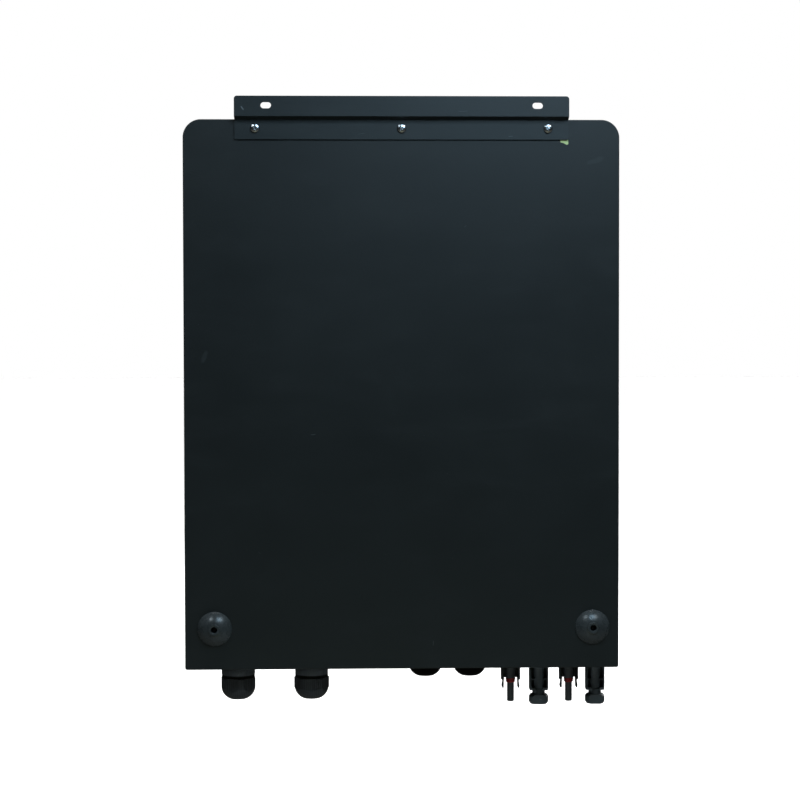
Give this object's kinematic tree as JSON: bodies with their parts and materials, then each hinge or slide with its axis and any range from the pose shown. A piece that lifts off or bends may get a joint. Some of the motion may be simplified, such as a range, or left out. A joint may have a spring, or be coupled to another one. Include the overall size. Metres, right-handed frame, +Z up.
{
  "type": "wall-mounted solar inverter",
  "caption": "Flat black wall-mounted solar inverter: sheet-metal case on a slotted hanging bracket, with cable glands and photovoltaic connectors along its lower edge.",
  "frame": {"origin": "midway between the two hanging slots, on the wall face of the bracket", "axes": "+Z up, +Y out of the wall towards the front cover, +X to the right when looking at the back"},
  "size_m": [0.4372, 0.1506, 0.6129],
  "materials": {
    "case_paint": "satin powder coat, fine texture",
    "bracket_paint": "satin powder coat",
    "zinc_steel": "bright zinc plate",
    "black_screw": "black oxide",
    "foot_rubber": "glossy moulded rubber",
    "gland_nylon": "moulded nylon, slight sheen",
    "seal_rubber": "matt",
    "pv_plastic": "moulded, semi-gloss",
    "seal_red": "matt silicone",
    "contact_metal": "tin plate",
    "lead_insulation": "extruded insulation",
    "bezel_plastic": "gloss",
    "display_glass": "clear, gloss",
    "lcd_glass": "unlit reflective display",
    "button_plastic": "moulded rubberised keys",
    "lens_plastic": "translucent",
    "circuit_board": "solder mask",
    "aluminium_bare": "extruded, bare",
    "package_black": "moulded epoxy",
    "capacitor_sleeve": "shrink sleeve",
    "copper_wire": "enamelled",
    "copper_bar": "tinned copper",
    "ferrite": "sintered",
    "relay_case": "moulded",
    "terminal_plastic": "moulded",
    "terminal_green": "moulded",
    "galvanised": "galvanised sheet",
    "brass_spacer": "turned",
    "fan_plastic": "moulded",
    "switch_plastic": "moulded"
  },
  "bodies": {
    "case": {"back_plate": "case_paint", "side_shell": "case_paint", "bottom_plate": "case_paint", "front_cover": "case_paint", "wiring_cover": "case_paint", "partition_plate": "galvanised", "cover_side_screws": "black_screw", "wiring_cover_screws": "black_screw", "wall_bracket": "bracket_paint", "bracket_screws": "zinc_steel", "wall_feet": "foot_rubber", "foot_screws": "black_screw", "display_bezel": "bezel_plastic", "display_window": "display_glass", "lcd_module": "lcd_glass", "display_board": "circuit_board", "status_lenses": "lens_plastic", "gland_locknuts": "gland_nylon", "pv_plug_1": "pv_plastic", "pv_plug_2": "pv_plastic", "pv_socket_1": "pv_plastic", "pv_socket_2": "pv_plastic", "pv_seal_rings": "seal_red", "pv_contacts": "contact_metal", "pv_locknuts": "pv_plastic", "pv_leads": "lead_insulation", "terminal_rail": "galvanised", "ac_terminal_block": "terminal_plastic", "battery_terminals": "copper_bar", "pv_terminal_block": "terminal_green", "heat_sink": "aluminium_bare", "power_transistors": "package_black", "power_board": "circuit_board", "bus_capacitors": "capacitor_sleeve", "inductors": "copper_wire", "transformer": "ferrite", "relays": "relay_case", "control_board": "circuit_board", "board_spacers": "brass_spacer", "fan_frames": "fan_plastic", "power_switch_housing": "switch_plastic", "ac_input_gland_body": "gland_nylon", "ac_output_gland_body": "gland_nylon", "battery_positive_gland_body": "gland_nylon", "battery_negative_gland_body": "gland_nylon"},
    "escape_button": {"escape_button": "button_plastic"},
    "up_button": {"up_button": "button_plastic"},
    "down_button": {"down_button": "button_plastic"},
    "enter_button": {"enter_button": "button_plastic"},
    "ac_input_clamp_seal": {"ac_input_gland_seal": "seal_rubber"},
    "ac_input_nut": {"ac_input_gland_nut": "gland_nylon"},
    "ac_output_clamp_seal": {"ac_output_gland_seal": "seal_rubber"},
    "ac_output_nut": {"ac_output_gland_nut": "gland_nylon"},
    "battery_positive_clamp_seal": {"battery_positive_gland_seal": "seal_rubber"},
    "battery_positive_nut": {"battery_positive_gland_nut": "gland_nylon"},
    "battery_negative_clamp_seal": {"battery_negative_gland_seal": "seal_rubber"},
    "battery_negative_nut": {"battery_negative_gland_nut": "gland_nylon"},
    "upper_fan": {"upper_fan_rotor": "fan_plastic"},
    "lower_fan": {"lower_fan_rotor": "fan_plastic"},
    "power_rocker": {"power_switch_rocker": "switch_plastic"}
  },
  "joints": [
    {"name": "escape_button_press", "type": "slide", "parent": "case", "child": "escape_button", "axis": [0, -1, 0], "range_m": [0, 0.001], "stiffness_N_per_m": 300},
    {"name": "up_button_press", "type": "slide", "parent": "case", "child": "up_button", "axis": [0, -1, 0], "range_m": [0, 0.001], "stiffness_N_per_m": 300},
    {"name": "down_button_press", "type": "slide", "parent": "case", "child": "down_button", "axis": [0, -1, 0], "range_m": [0, 0.001], "stiffness_N_per_m": 300},
    {"name": "enter_button_press", "type": "slide", "parent": "case", "child": "enter_button", "axis": [0, -1, 0], "range_m": [0, 0.001], "stiffness_N_per_m": 300},
    {"name": "ac_input_seal_slide", "type": "slide", "parent": "case", "child": "ac_input_clamp_seal", "axis": [0, 0, -1], "range_m": [0, 0.00187]},
    {"name": "ac_input_nut_turn", "type": "hinge", "parent": "ac_input_clamp_seal", "child": "ac_input_nut", "pos_m": [-0.166, 0.052, -0.5848], "axis": [0, 0, -1], "range_deg": [0, 450]},
    {"name": "ac_output_seal_slide", "type": "slide", "parent": "case", "child": "ac_output_clamp_seal", "axis": [0, 0, -1], "range_m": [0, 0.00187]},
    {"name": "ac_output_nut_turn", "type": "hinge", "parent": "ac_output_clamp_seal", "child": "ac_output_nut", "pos_m": [-0.0915, 0.052, -0.5848], "axis": [0, 0, -1], "range_deg": [0, 450]},
    {"name": "battery_positive_seal_slide", "type": "slide", "parent": "case", "child": "battery_positive_clamp_seal", "axis": [0, 0, -1], "range_m": [0, 0.00187]},
    {"name": "battery_positive_nut_turn", "type": "hinge", "parent": "battery_positive_clamp_seal", "child": "battery_positive_nut", "pos_m": [0.0269, 0.111, -0.5728], "axis": [0, 0, -1], "range_deg": [0, 450]},
    {"name": "battery_negative_seal_slide", "type": "slide", "parent": "case", "child": "battery_negative_clamp_seal", "axis": [0, 0, -1], "range_m": [0, 0.00187]},
    {"name": "battery_negative_nut_turn", "type": "hinge", "parent": "battery_negative_clamp_seal", "child": "battery_negative_nut", "pos_m": [0.0737, 0.111, -0.5728], "axis": [0, 0, -1], "range_deg": [0, 450]},
    {"name": "upper_fan_spin", "type": "hinge", "parent": "case", "child": "upper_fan", "pos_m": [-0.2022, 0.058, -0.1245], "axis": [1, 0, 0], "continuous": true},
    {"name": "lower_fan_spin", "type": "hinge", "parent": "case", "child": "lower_fan", "pos_m": [-0.2022, 0.058, -0.2245], "axis": [1, 0, 0], "continuous": true},
    {"name": "power_rocker_tilt", "type": "hinge", "parent": "case", "child": "power_rocker", "pos_m": [-0.06, 0.116, -0.5588], "axis": [0, 1, 0], "range_deg": [0, 16]}
  ],
  "couplings": [
    {"joint": "ac_input_nut_turn", "follows": "ac_input_seal_slide", "rad_per_m": 4188.4},
    {"joint": "ac_output_nut_turn", "follows": "ac_output_seal_slide", "rad_per_m": 4188.4},
    {"joint": "battery_positive_nut_turn", "follows": "battery_positive_seal_slide", "rad_per_m": 4188.4},
    {"joint": "battery_negative_nut_turn", "follows": "battery_negative_seal_slide", "rad_per_m": 4188.4}
  ]
}
